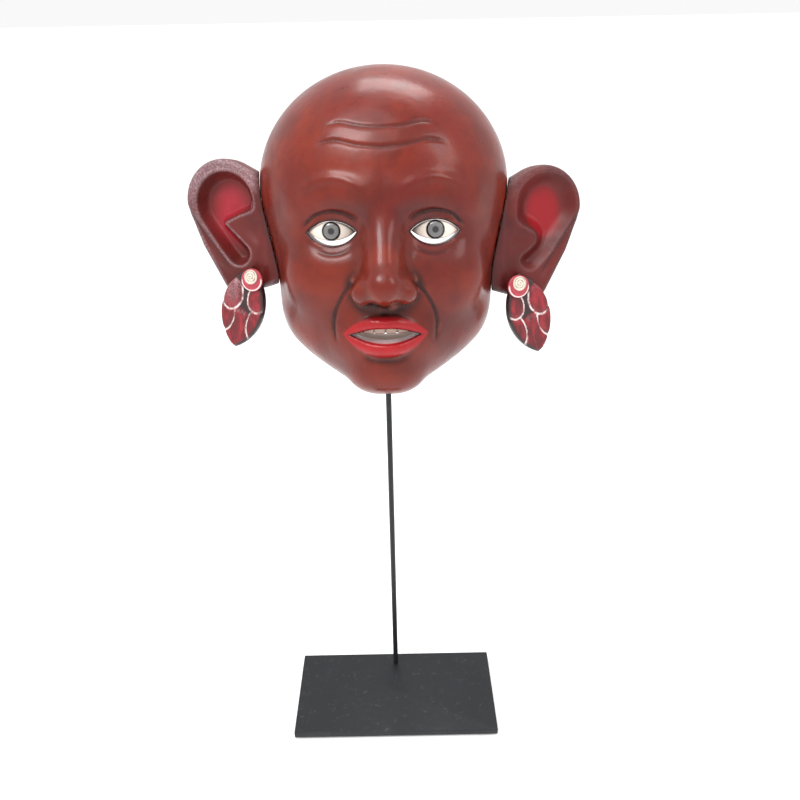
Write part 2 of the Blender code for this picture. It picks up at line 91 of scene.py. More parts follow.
ORNAMENT = (3.0, -34.0)
LEAF_CENTRE, LEAF_HALF_LENGTH, LEAF_HALF_WIDTH = (12.5, -52.5), 28.0, 15.0
LEAF_TILT, LEAF_THICK, LEAF_EDGE_STEP = math.radians(17.0), 6.0, 1.9
BOSS_R, BOSS_THICK, BOSS_LINE_R = 7.5, 3.5, 6.75
CURL_RISE, CURL_R, CURL_PITCH = 2.1, 4.5, 1.7
PIN_HOLE_R, PIN_HOLE_DEPTH = 1.8, 1.6


# ---------- distance fields


def ellipsoid(p, centre, radii):
    q = (p - np.array(centre)) / np.array(radii)
    scaled = np.linalg.norm(q, axis=-1)
    slope = np.linalg.norm(q / np.array(radii), axis=-1)
    return scaled * (scaled - 1.0) / np.maximum(slope, 1e-9)


def capsule(p, start, end, start_r, end_r):
    start, end = np.array(start), np.array(end)
    along = end - start
    t = np.clip((p - start) @ along / (along @ along), 0.0, 1.0)
    nearest = start + t[..., None] * along
    return np.linalg.norm(p - nearest, axis=-1) - (start_r + (end_r - start_r) * t)


def join(a, b, blend):
    """Smooth union: the two shapes run into each other over the blend distance."""
    h = np.clip(0.5 + 0.5 * (b - a) / blend, 0.0, 1.0)
    return b * (1 - h) + a * h - blend * h * (1 - h)


def carve(a, b, blend):
    """Shape a with shape b cut out of it, the edge rounded over the blend distance."""
    return -join(-a, b, blend)


def common(a, b, blend):
    """Only what is in both shapes, the edge rounded."""
    return -join(-a, -b, blend)


def along_path(p, points, radii):
    spans = zip(points[:-1], points[1:], radii[:-1], radii[1:])
    return np.min([capsule(p, a, b, ra, rb) for a, b, ra, rb in spans], axis=0)


def smooth(low, high, value):
    t = np.clip((value - low) / (high - low), 0.0, 1.0)
    return t * t * (3 - 2 * t)


def almond(x, z, half_width, upper, lower):
    """Distance in a plane from an almond: two circular arcs that meet in points at both ends."""
    sides = []
    for height, sign in ((upper, 1), (lower, -1)):
        radius = (half_width**2 + height**2) / (2 * height)
        sides.append(np.hypot(x, z + sign * (radius - height)) - radius)
    return np.maximum(*sides)


def belt(x, z, circles, steps=64):
    """Distance in a plane from a belt drawn tight round some circles, each (x, z, radius)."""
    far = np.full(np.shape(x), -1e9)
    for i in range(steps):
        nx, nz = math.cos(2 * math.pi * i / steps), math.sin(2 * math.pi * i / steps)
        reach = max(cx * nx + cz * nz + r for cx, cz, r in circles)
        far = np.maximum(far, x * nx + z * nz - reach)
    return far


def from_curve(x, z, points):
    """Distance in a plane from a line through points, and how far along it the nearest place is, 0 to 1."""
    nearest = np.full(np.shape(x), 1e9)
    share = np.zeros(np.shape(x))
    count = len(points) - 1
    for i, ((ax, az), (bx, bz)) in enumerate(zip(points[:-1], points[1:])):
        dx, dz = bx - ax, bz - az
        t = np.clip(((x - ax) * dx + (z - az) * dz) / (dx * dx + dz * dz), 0.0, 1.0)
        distance = np.hypot(x - ax - t * dx, z - az - t * dz)
        share = np.where(distance < nearest, (i + t) / count, share)
        nearest = np.minimum(nearest, distance)
    return nearest, share


def smooth_curve(points, steps=6):
    """More points on a smooth line (Catmull-Rom) through the ones given."""
    padded = [points[0], *points, points[-1]]
    fine = []
    for a, b, c, d in zip(padded, padded[1:], padded[2:], padded[3:]):
        a, b, c, d = (np.array(q, float) for q in (a, b, c, d))
        square, cube = 2 * a - 5 * b + 4 * c - d, 3 * b - a - 3 * c + d
        for i in range(steps):
            t = i / steps
            fine.append(tuple(0.5 * (2 * b + (c - a) * t + square * t**2 + cube * t**3)))
    return [*fine, tuple(points[-1])]


def stroke(x, z, points, width, taper):
    """1 along a line, falling to 0 about a width away and over the taper's share at its two ends."""
    distance, share = from_curve(x, z, smooth_curve(points))
    ends = smooth(0, taper, share) * smooth(0, taper, 1 - share)
    return np.exp(-((distance / width) ** 2)) * ends


# ---------- the head


def lip_path(reach, centre_f, sag, heights, thick, steps=7):
    """Points and radii of one lip from the middle of the mouth to its corner."""
    points, radii = [], []
    for i in range(steps + 1):
        t = i / steps
        middle, peak, corner = heights
        bow = 4 * (peak - middle) * min(t, 0.22) / 0.88
        points.append((reach * t, centre_f - sag * t * t, middle + bow + (corner - middle - bow) * t**2.2))
        radii.append(thick * (1 - t * t) + 1.0)
    return points, radii


UPPER_LIP = (25, 71.5, 12, (-54.4, -53.6, -60.8), 3.6)
LOWER_LIP = (24, 71.0, 11, (-68.8, -68.8, -62.2), 4.8)


def lips(p):
    return along_path(p, *lip_path(*UPPER_LIP)), along_path(p, *lip_path(*LOWER_LIP))


def lip_paint(x, z, *line):
    """1 where one lip is painted, seen from the front."""
    points, _ = lip_path(*line)
    distance, share = from_curve(x, z, [(px, pz) for px, _, pz in points])
    return smooth(0.5, -0.3, distance - line[-1] * (1 - share**2) - 0.8)


def head_field(p):
    """Distance from the outer surface of the head, before its openings. Takes |x|."""
    d = ellipsoid(p, (0, 0, 27), (82, 74, 75))
    d = join(d, ellipsoid(p, (0, 2, -31), (71, 66, 69)), 24)  # lower face
    d = join(d, capsule(p, (41, 19, -53), (9, 43, -83), 22, 18), 20)  # jaw
    d = join(d, ellipsoid(p, (34, 47, -27), (24, 16, 20)), 20)  # cheek
    d = join(d, capsule(p, (8, 63, 19), (48, 45, 18), 8, 6), 14)  # brow
    d = carve(d, ellipsoid(p, (31, 75, 0.5), (19, 13, 11)), 12)  # eye socket
    d = join(d, ellipsoid(p, (EYE_X, 46, -0.5), (19, 18.5, 12.5)), 4)  # eyelids
    d = join(d, capsule(p, (0, 60, 12), (0, 72, -26), 8, 14), 9)  # nose, where it meets the face
    d = join(d, capsule(p, (0, 66, 10), (0, 84, -27), 6, 8), 8)  # nose ridge
    d = join(d, ellipsoid(p, (0, 86, -31), (10.5, 9.5, 9.5)), 6)  # nose tip
    d = join(d, ellipsoid(p, (12.5, 77, -34), (8, 10.5, 8)), 6)  # nose wing
    d = join(d, capsule(p, (0, 66, -37), (0, 84, -36), 6, 4.5), 4)  # bar between the nostrils
    d = join(d, ellipsoid(p, (0, 49, -63), (31, 24, 24)), 14)  # mouth
    upper, lower = lips(p)
    d = join(d, upper, 2.5)
    d = join(d, lower, 2.5)
    d = join(d, ellipsoid(p, (0, 51, -88), (19, 16.5, 13)), 12)  # chin
    return d


def hollow_field(p):
    """Distance from the surface of the hollow that the wearer's face goes into."""
    d = ellipsoid(p, (0, -4, 27), (70, 70, 64))
    d = join(d, ellipsoid(p, (0, -4, -24), (59, 60, 48)), 16)
    d = join(d, ellipsoid(p, (0, 38, -60), (27, 24, 11)), 8)
    d = join(d, ellipsoid(p, (0, 58, -30), (7, 14, 9)), 4)
    return d


GROOVES = (
    # points (|x|, z), width, depth, share of the line over which it fades out
    (((14, 5.5), (22, 10.5), (32, 12), (42, 9), (49, 2)), 1.1, 0.9, 0.18),  # fold of the upper lid
    (((17, -8), (25, -12.5), (34, -13), (43, -9)), 1.3, 0.5, 0.3),  # under the lower lid
    (((15, -27), (22, -33), (29, -44), (32, -56), (30, -68)), 1.3, 1.0, 0.22),  # beside the nose and mouth
    (((0, -77.5), (8, -77), (15, -73.5)), 1.8, 0.7, 0.35),  # over the chin
    (((0, 47), (14, 48.5), (28, 51.5), (40, 49)), 1.2, 0.7, 0.3),  # forehead
    (((0, 58), (12, 59), (24, 61.5), (33, 60)), 1.2, 0.6, 0.3),
)
BROW = ((9, 21), (18, 27.5), (30, 30.5), (42, 28), (53, 20))
PHILTRUM = ((0, -43), (0, -50))


def carving(x, z):
    """How deep the carver's lines go below the smooth head, seen from the front."""
    depth = np.zeros(np.shape(x))
    for points, width, deep, fade in GROOVES:
        starts_in_middle = points[0][0] == 0
        distance, share = from_curve(x, z, smooth_curve(points))
        ends = smooth(0, fade, 1 - share)
        if not starts_in_middle:
            ends = ends * smooth(0, fade, share)
        depth += deep * np.exp(-((distance / width) ** 2)) * ends
    depth += 0.8 * stroke(x, z, PHILTRUM, 2.4, 0.35)
    depth -= 1.5 * stroke(x, z, BROW, 3.4, 0.3)
    return depth


def socket_cut(p):
    """The upright hole over the stand's pin and the flat seat at its mouth. Both lean in the mask."""
    up = np.array((0.0, math.sin(TILT), math.cos(TILT)))
    foot = np.array((0.0, SOCKET_F, SOCKET_Z))
    height = (p - foot) @ up
    beside = np.linalg.norm(p - foot - height[..., None] * up, axis=-1)
    hole = np.maximum(beside - SOCKET_R, height - SOCKET_DEPTH)
    seat = np.maximum(beside - SEAT_R, height - SEAT_RISE)
    return np.minimum(hole, seat)


def peg_cut(p):
    """The holes for the ear pegs. Takes |x|."""
    holes = []
    for x, z in PEGS:
        beside = np.hypot(p[..., 1] - EAR_F, p[..., 2] - z)
        along = np.abs(p[..., 0] - x - PEG_LENGTH / 2) - PEG_LENGTH / 2
        holes.append(np.maximum(beside - PEG_R, along) - GAP)
    return np.minimum(*holes)


def eye_opening(x, z):
    """Distance in the face's plane from the right eye's opening."""
    return almond(x - EYE_X, z, EYE_HALF_WIDTH, EYE_UPPER, OPENING_LOWER)


def mouth_opening(x, z):
    return almond(x, z - MOUTH_Z, MOUTH_HALF_WIDTH, MOUTH_HALF_HEIGHT, MOUTH_HALF_HEIGHT)


def teeth_pocket(p):
    """The curved slot behind the lips that the teeth sit in, with a gap all round. Takes |x|."""
    bend = np.hypot(p[..., 0], p[..., 1] - TEETH_CENTRE_F)
    angle = np.arctan2(p[..., 0], p[..., 1] - TEETH_CENTRE_F)
    side = (angle - math.radians(TEETH_HALF_ANGLE)) * TEETH_OUTER_R - GAP
    ring = np.maximum(bend - TEETH_OUTER_R - GAP, TEETH_INNER_R - POCKET_BEHIND_TEETH - bend)
    height = np.maximum(p[..., 2] - TEETH_HIGH_Z - GAP, MOUTH_Z - p[..., 2])
    return np.maximum(np.maximum(ring, height), side)


def folded(points):
    """The same points with |x|, for fields that are alike on both sides."""
    p = points.copy()
    p[..., 0] = np.abs(p[..., 0])
    return p


def face_field(points):
    """The whole face: the head with its fine carving, its openings, its hollow and its flat rim."""
    p = folded(points)
    x, f, z = p[..., 0], p[..., 1], p[..., 2]
    front = smooth(10, 40, f)
    d = head_field(p) + SHRINK + carving(x, z) * front
    d = carve(d, eye_opening(x, z), 1.2)
    d = carve(d, np.maximum(mouth_opening(x, z), MOUTH_BACK_F - f), 2.0)
    d = carve(d, capsule(p, *NOSTRIL), 1.6)
    d = carve(d, hollow_field(p), 1.0)
    d = carve(d, teeth_pocket(p), 0.4)
    d = carve(d, f, 1.2)
    d = carve(d, socket_cut(p), 0.3)
    return carve(d, peg_cut(p), 0.2)


# ---------- from fields to meshes


def lattice(axes):
    return np.stack(np.meshgrid(*axes, indexing="ij"), axis=-1)


CORNERS = [(i, j, k) for i in (0, 1) for j in (0, 1) for k in (0, 1)]
BLOCK = 4  # fine steps in one coarse step
CHUNK = 300000  # points worked out at a time


def sampled(field, axes):
    """The field on a fine grid. Away from the surface it only takes the nearest coarse value."""
    coarse = field(lattice([a[::BLOCK] for a in axes]))
    step = axes[0][1] - axes[0][0]
    near = np.abs(coarse) < 1.5 * math.sqrt(3) * BLOCK * step
    cells = np.zeros(np.array(near.shape) - 1, bool)
    for i, j, k in CORNERS:
        cells |= near[i : i + cells.shape[0], j : j + cells.shape[1], k : k + cells.shape[2]]
    fine_cells = cells.repeat(BLOCK, 0).repeat(BLOCK, 1).repeat(BLOCK, 2)
    wanted = np.zeros([len(a) for a in axes], bool)
    for i, j, k in CORNERS:
        a, b, c = fine_cells.shape
        wanted[i : i + a, j : j + b, k : k + c] |= fine_cells
    index = []
    for a, last in zip(axes, np.array(coarse.shape) - 1):
        nearest = (np.arange(len(a)) + BLOCK // 2) // BLOCK
        index.append(np.minimum(nearest, last))
    values = coarse[np.ix_(*index)]
    places = np.argwhere(wanted)
    for start in range(0, len(places), CHUNK):
        chunk = places[start : start + CHUNK]
        points = np.stack([axes[n][chunk[:, n]] for n in range(3)], axis=-1)
        values[chunk[:, 0], chunk[:, 1], chunk[:, 2]] = field(points)
    return values


def sculpt(field, low, high, step):
    """Vertices and quads of the surface where the field is zero, with quads about one step across."""
    counts = [int(math.ceil((b - a) / step / BLOCK)) * BLOCK + 1 for a, b in zip(low, high)]
    axes = [a + step * np.arange(n) for a, n in zip(low, counts)]
    values = sampled(field, axes)
    inside = values < 0
    cell_shape = np.array(values.shape) - 1
    corners = [np.array(corner) for corner in CORNERS]

    def corner_view(data, corner):
        i, j, k = corner
        return data[i : i + cell_shape[0], j : j + cell_shape[1], k : k + cell_shape[2]]

    total = sum(corner_view(inside, c).astype(np.int8) for c in corners)
    active = (total > 0) & (total < 8)
    number = np.full(cell_shape, -1)
    number[active] = np.arange(active.sum())
    at = {tuple(c): corner_view(values, c)[active] for c in corners}
    place, crossings = np.zeros((active.sum(), 3)), np.zeros(active.sum())
    for a in corners:
        for axis in range(3):
            if a[axis] == 1:
                continue
            b = a.copy()
            b[axis] = 1
            va, vb = at[tuple(a)], at[tuple(b)]
            crossed = (va < 0) != (vb < 0)
            t = np.where(crossed, va / np.where(crossed, va - vb, 1.0), 0.0)
            place += crossed[:, None] * (a + t[:, None] * (b - a))
            crossings += crossed
    vertices = np.array(low) + step * (np.argwhere(active) + place / crossings[:, None])

    quads = []
    for axis in range(3):
        u, v = (axis + 1) % 3, (axis + 2) % 3
        near_end = [slice(1, -1)] * 3
        near_end[axis] = slice(0, -1)
        far_end = list(near_end)
        far_end[axis] = slice(1, None)
        leaving = inside[tuple(near_end)] & ~inside[tuple(far_end)]
        entering = ~inside[tuple(near_end)] & inside[tuple(far_end)]
        for changed, order in ((leaving, (0, 1, 2, 3)), (entering, (3, 2, 1, 0))):
            edges = np.argwhere(changed)
            edges[:, u] += 1
            edges[:, v] += 1
            around = []
            for du, dv in ((-1, -1), (0, -1), (0, 0), (-1, 0)):
                cell = edges.copy()
                cell[:, u] += du
                cell[:, v] += dv
                around.append(number[cell[:, 0], cell[:, 1], cell[:, 2]])
            quads.append(np.stack([around[n] for n in order], axis=-1))
    return vertices, np.concatenate(quads)


def slope(field, p, reach=0.35):
    steps = np.eye(3) * reach
    return np.stack([field(p + s) - field(p - s) for s in steps], axis=-1) / (2 * reach)


def settle(field, p, rounds=2):
    """Moves points onto the surface, and gives the outward direction there."""
    for _ in range(rounds):
        g = slope(field, p)
        size = np.maximum((g * g).sum(-1), 0.2)
        move = np.clip(field(p) / size, -0.4, 0.4)
        p = p - move[:, None] * g
    g = slope(field, p)
    return p, g / np.maximum(np.linalg.norm(g, axis=-1, keepdims=True), 1e-6)


def hollowness(field, p, outward, reach):
    """0 on open surfaces, up to 1 deep in a groove or a corner."""
    return np.clip((reach - field(p + outward * reach)) / reach, 0, 1)


def sharpness(field, p, outward, reach):
    """0 on open surfaces, up to 1 on a crisp outer edge."""
    return np.clip((reach + field(p - outward * reach)) / reach, 0, 1)


def mesh_piece(name, place, vertices, quads, material, slot, replaces, side=1, **paints):
    """A piece of the mask from a sculpted surface, mirrored if side is -1.

    place turns the field's (x, f, z) millimetres into world metres. paints are the materials' attributes.
    """
    turned = np.stack([side * vertices[:, 0], -vertices[:, 1], vertices[:, 2]], axis=-1) * MM
    matrix = np.array(place)
    world = turned @ matrix[:3, :3].T + matrix[:3, 3]
    faces = quads[:, ::-1] if side > 0 else quads
    mesh = bpy.data.meshes.new(name)
    mesh.from_pydata(world.tolist(), [], faces.tolist())
    mesh.shade_smooth()
    mesh.materials.append(material)
    for paint, values in paints.items():
        layer = mesh.attributes.new(paint, "FLOAT", "POINT")
        layer.data.foreach_set("value", np.asarray(values, np.float32))
    made = bpy.data.objects.new(name, mesh)
    bpy.context.scene.collection.objects.link(made)
    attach(made, "mask")
    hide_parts(replaces)


# ---------- materials

# Display colours: red, green and blue out of 255
BRUSH_RED = (132, 52, 36)
FACE_RED = (100, 21, 13)
FACE_DEEP = (68, 14, 10)
FACE_WARM = (122, 36, 14)
# Dark wash in the grooves, and painted shade in hollows and corners
FACE_WASH_AND_SHADE = (34, 8, 7)
# Paler rubbed lacquer on ridges, also a painted highlight
FACE_WEAR_AND_HIGHLIGHT = (170, 92, 78)
LIP_DEEP = (146, 14, 20)
LIP_RED = (176, 28, 34)
# Dark wash and painted shade on the lips
LIP_WASH_AND_SHADE = (56, 10, 12)
WOOD_DARK = (96, 62, 40)
WOOD_PALE = (134, 92, 62)
EAR_RED = (86, 20, 20)
EAR_DEEP = (54, 13, 14)
EAR_WARM = (100, 30, 26)
BOWL_DEEP = (134, 14, 24)
BOWL_WORN = (176, 44, 62)
BOWL_RED = (152, 16, 26)
# Dark wash and painted shade in the ear's hollows and corners
EAR_WASH_AND_SHADE = (32, 12, 13)
# Pale rubbed lacquer on the ear's rim, also a painted highlight on its edges
EAR_WEAR_AND_HIGHLIGHT = (172, 148, 154)
LEAF_DEEP = (100, 12, 20)
LEAF_RED = (150, 28, 40)
LEAF_SHADE = (58, 16, 22)
LEAF_DARK = (46, 22, 24)
LEAF_GREY = (176, 150, 154)
LEAF_ROSE = (140, 50, 58)
PAINTED_LINE = (244, 226, 224)
BOSS_CREAM = (226, 216, 200)
BOSS_TAN = (204, 188, 172)
# Dark wash and painted shade in the rosette's spiral groove
BOSS_WASH_AND_SHADE = (72, 60, 54)
PETAL_RED = (150, 30, 42)
PETAL_PINK = (186, 70, 84)
TOOTH_PALE = (232, 219, 206)
TOOTH_TAN = (206, 186, 166)
# Painted shade between the teeth and under the upper lip
TOOTH_SHADE = (104, 72, 56)
EYE_PALE = (236, 226, 214)
EYE_TAN = (216, 200, 186)
EYE_CORNER = (186, 128, 116)
EYE_RING = (34, 26, 24)
# Painted shade on the eye under the lids
EYE_SHADE = (96, 66, 56)
IRIS_DARK = (66, 66, 68)
IRIS_PALE = (128, 126, 124)
PUPIL = (16, 15, 16)
IRON_BLACK = (20, 22, 26)
IRON_GREY = (27, 29, 33)
DULL_GREY = (150, 150, 152)
LEATHER_DARK = (58, 36, 26)
LEATHER_PALE = (88, 56, 40)
STEEL_PALE = (182, 182, 180)
RUBBER_DARK = (24, 24, 25)
RUBBER_GREY = (38, 38, 38)
PEG_DARK = (126, 86, 56)
PEG_PALE = (170, 124, 84)
FLOOR_WHITE = (250, 250, 250)


class Look:
    """A material being built: a Principled shader and short ways to add the nodes that feed it."""

    def __init__(self, name, roughness=0.5, metallic=0.0, **settings):
        self.material = bpy.data.materials.new(name)
        self.material.use_nodes = True
        self.nodes = self.material.node_tree.nodes
        self.links = self.material.node_tree.links
        self.shader = self.nodes["Principled BSDF"]
        self.shader.inputs["Roughness"].default_value = roughness
        self.shader.inputs["Metallic"].default_value = metallic
        for key, value in settings.items():
            self.shader.inputs[key.replace("_", " ")].default_value = value
        self.place = self.nodes.new("ShaderNodeTexCoord").outputs["Object"]

    def feed(self, socket, value):
        if isinstance(value, bpy.types.NodeSocket):
            self.links.new(value, socket)
        else:
            socket.default_value = value

    def add(self, kind, **settings):
        node = self.nodes.new(kind)
        for key, value in settings.items():
            node.inputs[key].default_value = value
        return node

    def stretched(self, scale):
        node = self.add("ShaderNodeMapping", Scale=scale)
        self.links.new(self.place, node.inputs["Vector"])
        return node.outputs["Vector"]

    def noise(self, scale, detail=3.0, roughness=0.55, vector=None, distortion=0.0):
        settings = {"Scale": scale, "Detail": detail, "Roughness": roughness, "Distortion": distortion}
        node = self.add("ShaderNodeTexNoise", **settings)
        self.links.new(vector or self.place, node.inputs["Vector"])
        return node.outputs["Fac"]

    def cells(self, scale):
        node = self.add("ShaderNodeTexVoronoi", Scale=scale)
        self.links.new(self.place, node.inputs["Vector"])
        return node.outputs["Distance"]

    def painted(self, name):
        node = self.nodes.new("ShaderNodeAttribute")
        node.attribute_name = name
        return node.outputs["Fac"]

    def math(self, operation, a, b=0.0, clamp=False):
        node = self.nodes.new("ShaderNodeMath")
        node.operation = operation
        node.use_clamp = clamp
        self.feed(node.inputs[0], a)
        self.feed(node.inputs[1], b)
        return node.outputs[0]

    def between(self, value, low, high, to_low=0.0, to_high=1.0):
        """A value from low..high spread smoothly over to_low..to_high."""
        node = self.nodes.new("ShaderNodeMapRange")
        node.interpolation_type = "SMOOTHSTEP"
        self.feed(node.inputs["Value"], value)
        settings = {"From Min": low, "From Max": high, "To Min": to_low, "To Max": to_high}
        for key, number in settings.items():
            node.inputs[key].default_value = number
        return node.outputs["Result"]

    def mix(self, share, a, b, blend="MIX"):
        node = self.nodes.new("ShaderNodeMix")
        node.data_type = "RGBA"
        node.blend_type = blend
        self.feed(node.inputs[0], share)
        self.feed(node.inputs[6], colour(a))
        self.feed(node.inputs[7], colour(b))
        return node.outputs[2]

    def bump(self, height, strength, distance, under=None):
        node = self.add("ShaderNodeBump", Strength=strength, Distance=distance)
        self.links.new(height, node.inputs["Height"])
        if under:
            self.links.new(under, node.inputs["Normal"])
        return node.outputs["Normal"]

    def set(self, **inputs):
        for key, value in inputs.items():
            self.feed(self.shader.inputs[key.replace("_", " ")], value)
        return self.material


def colour(value):
    """A display colour such as (139, 60, 54) as the linear colour that a shader takes."""
    if isinstance(value, bpy.types.NodeSocket):
        return value
    linear = [c / 255 / 12.92 if c <= 10 else ((c / 255 + 0.055) / 1.055) ** 2.4 for c in value]
    return (*linear, 1.0)


def lacquer(name, base, deep, warm, roughness=0.3, coat=0.16):
    """Brushed lacquer over wood: its look so far, its mottled colour, and where the dark wash in the
    grooves and the painted shade in hollows lie.
    """
    gloss = {"Coat_Weight": 0.26, "Coat_Roughness": coat, "Specular_IOR_Level": 0.24}
    look = Look(name, roughness=roughness, **gloss)
    broad = look.between(look.noise(16, 4, 0.6, distortion=0.4), 0.32, 0.70)
    patches = look.between(look.noise(38, 5, 0.62), 0.42, 0.66)
    streaks = look.between(look.noise(60, 4, 0.6, look.stretched((1.0, 1.0, 0.16))), 0.35, 0.7)
    tone = look.mix(broad, base, warm)
    tone = look.mix(look.math("MULTIPLY", patches, 0.45), tone, deep)
    tone = look.mix(look.math("MULTIPLY", streaks, 0.10), tone, BRUSH_RED)
    # Where the dark wash in grooves and the painted shade in hollows and corners go, varied a little at
    # random
    wash = look.math("MULTIPLY", look.painted("wash"), look.between(look.noise(90, 3), 0.2, 0.6, 0.7, 1.0))
    return look, tone, wash


def lacquer_surface(look):
    """Brush marks and grain under the gloss."""
    strokes = look.noise(220, 5, 0.6, look.stretched((1.0, 1.0, 0.18)))
    ripples = look.noise(46, 2, 0.5)
    pores = look.noise(1500, 2, 0.5, look.stretched((1.0, 1.0, 0.12)))
    normal = look.bump(ripples, 0.16, 0.004)
    normal = look.bump(strokes, 0.12, 0.0011, normal)
    return look.bump(pores, 0.12, 0.0003, normal)


def face_paint():
    look, tone, wash = lacquer("face_lacquer", FACE_RED, FACE_DEEP, FACE_WARM)
    # Dark wash in the carved lines, and painted shade in the hollows and corners
    tone = look.mix(look.math("MULTIPLY", wash, 0.92, True), tone, FACE_WASH_AND_SHADE)
    # Paler crisp ridges: rubbed lacquer, and a painted highlight along them
    worn = look.math("MULTIPLY", look.painted("worn"), look.between(look.noise(70, 4), 0.40, 0.62))
    tone = look.mix(look.math("MULTIPLY", worn, 0.4, True), tone, FACE_WEAR_AND_HIGHLIGHT)
    lip_tone = look.mix(look.noise(120, 4), LIP_DEEP, LIP_RED)
    # Painted shade on the lips where they meet and curl in, with some dark wash
    lip_tone = look.mix(look.math("MULTIPLY", wash, 0.6, True), lip_tone, LIP_WASH_AND_SHADE)
    tone = look.mix(look.painted("lips"), tone, lip_tone)
    wood = look.mix(look.noise(70, 5, 0.6, look.stretched((1.0, 1.0, 0.1))), WOOD_DARK, WOOD_PALE)
    tone = look.mix(look.painted("bare"), tone, wood)
    rough = look.between(look.noise(50, 4), 0.3, 0.7, 0.24, 0.40)
    rough = look.math("ADD", rough, look.math("MULTIPLY", look.painted("bare"), 0.35), True)
    rough = look.math("ADD", rough, look.math("MULTIPLY", wash, 0.3), True)
    return look.set(Base_Color=tone, Roughness=rough, Normal=lacquer_surface(look))


def ear_paint(name, wear):
    look, tone, wash = lacquer(name, EAR_RED, EAR_DEEP, EAR_WARM, roughness=0.46, coat=0.42)
    red = look.mix(look.noise(90, 5, 0.65), BOWL_DEEP, BOWL_WORN if wear > 0.5 else BOWL_RED)
    tone = look.mix(look.painted("red"), tone, red)
    # Dark wash and painted shade in the ear's hollows
    tone = look.mix(look.math("MULTIPLY", wash, 0.9, True), tone, EAR_WASH_AND_SHADE)
    # Pale flecks on the rim and edges: rubbed lacquer, with a painted highlight on the crisp edges
    flecks = look.between(look.noise(800, 5, 0.75), 0.40, 0.66, 0.25, 1.0)
    worn = look.math("MULTIPLY", look.painted("worn"), flecks)
    tone = look.mix(look.math("MULTIPLY", worn, 0.8 * wear, True), tone, EAR_WEAR_AND_HIGHLIGHT)
    stipple = look.bump(look.noise(700, 4, 0.7), 0.10 + 0.35 * wear, 0.0006, lacquer_surface(look))
    rough = look.between(look.noise(60, 4), 0.3, 0.7, 0.32, 0.52)
    return look.set(Base_Color=tone, Roughness=rough, Normal=stipple)


def leaf_paint(name, pale):
    look = Look(name, roughness=0.42, Coat_Weight=0.2, Coat_Roughness=0.25)
    streaks = look.between(look.noise(300, 4, 0.6, look.stretched((1.0, 1.0, 0.22))), 0.38, 0.66)
    tone = look.mix(streaks, LEAF_DEEP, LEAF_RED)
    shade = look.between(look.noise(110, 4, 0.6), 0.45, 0.65)
    tone = look.mix(look.math("MULTIPLY", shade, 0.55), tone, LEAF_SHADE)
    flecks = look.between(look.noise(1500, 4, 0.7), 0.40, 0.68, 0.0, 0.75)
    stipple = look.math("MULTIPLY", look.painted("stipple"), flecks)
    tone = look.mix(stipple, tone, LEAF_GREY if pale else LEAF_ROSE)
    tone = look.mix(look.painted("dark"), tone, LEAF_DARK)
    brushed = look.between(look.noise(260, 4), 0.36, 0.54, 0.2, 1.0)
    line = look.math("MULTIPLY", look.painted("line"), brushed)
    tone = look.mix(line, tone, PAINTED_LINE)
    normal = look.bump(look.noise(500, 4, 0.6), 0.25, 0.0005)
    return look.set(Base_Color=tone, Normal=normal)


def boss_paint():
    look = Look("rosette_paint", roughness=0.45, Coat_Weight=0.15, Coat_Roughness=0.3)
    tone = look.mix(look.noise(400, 4), BOSS_CREAM, BOSS_TAN)
    # Dark wash and painted shade in the spiral's groove
    tone = look.mix(look.painted("wash"), tone, BOSS_WASH_AND_SHADE)
    tone = look.mix(look.painted("petal"), tone, look.mix(look.noise(500, 3), PETAL_RED, PETAL_PINK))
    tone = look.mix(look.painted("line"), tone, PAINTED_LINE)
    return look.set(Base_Color=tone, Normal=look.bump(look.noise(700, 4), 0.3, 0.0004))


def teeth_paint():
    look = Look("tooth_paint", roughness=0.35, Coat_Weight=0.3, Coat_Roughness=0.2)
    tone = look.mix(look.noise(90, 4), TOOTH_PALE, TOOTH_TAN)
    # Painted shade between the teeth and towards their top, under the upper lip
    tone = look.mix(look.math("MULTIPLY", look.painted("wash"), 0.9, True), tone, TOOTH_SHADE)
    return look.set(Base_Color=tone, Normal=look.bump(look.noise(500, 4), 0.15, 0.0004))


def eye_paint():
    look = Look("eye_paint", roughness=0.25, Coat_Weight=0.5, Coat_Roughness=0.08)
    tone = look.mix(look.noise(120, 4), EYE_PALE, EYE_TAN)
    tone = look.mix(look.math("MULTIPLY", look.painted("corner"), 0.5, True), tone, EYE_CORNER)
    tone = look.mix(look.painted("ring"), tone, EYE_RING)
    # Painted shade along the inlay's upper edge, under the lid
    tone = look.mix(look.math("MULTIPLY", look.painted("wash"), 0.8, True), tone, EYE_SHADE)
    return look.set(Base_Color=tone, Normal=look.bump(look.noise(300, 3), 0.08, 0.0004))


def iris_paint():
    look = Look("iris_paint", roughness=0.12, Coat_Weight=1.0, Coat_Roughness=0.03)
    grey = look.mix(look.noise(900, 5, 0.7), IRIS_DARK, IRIS_PALE)
    tone = look.mix(look.painted("ring"), grey, PUPIL)
    return look.set(Base_Color=tone, Normal=look.bump(look.noise(900, 4), 0.12, 0.0003))


def iron_paint(name, rough_low=0.42, rough_high=0.58):
    """Powder-coated iron: a fine orange-peel skin and faint dust."""
    look = Look(name, roughness=0.5, Specular_IOR_Level=0.35)
    tone = look.mix(look.noise(30, 5, 0.6), IRON_BLACK, IRON_GREY)
    dust = look.between(look.noise(220, 6, 0.7), 0.56, 0.74)
    tone = look.mix(look.math("MULTIPLY", dust, 0.10), tone, DULL_GREY)
    skin = look.bump(look.noise(900, 2, 0.5), 0.22, 0.0002)
    grain = look.bump(look.noise(3500, 2), 0.1, 0.0001, skin)
    rough = look.between(look.noise(24, 4), 0.3, 0.7, rough_low, rough_high)
    return look.set(Base_Color=tone, Roughness=rough, Normal=grain)


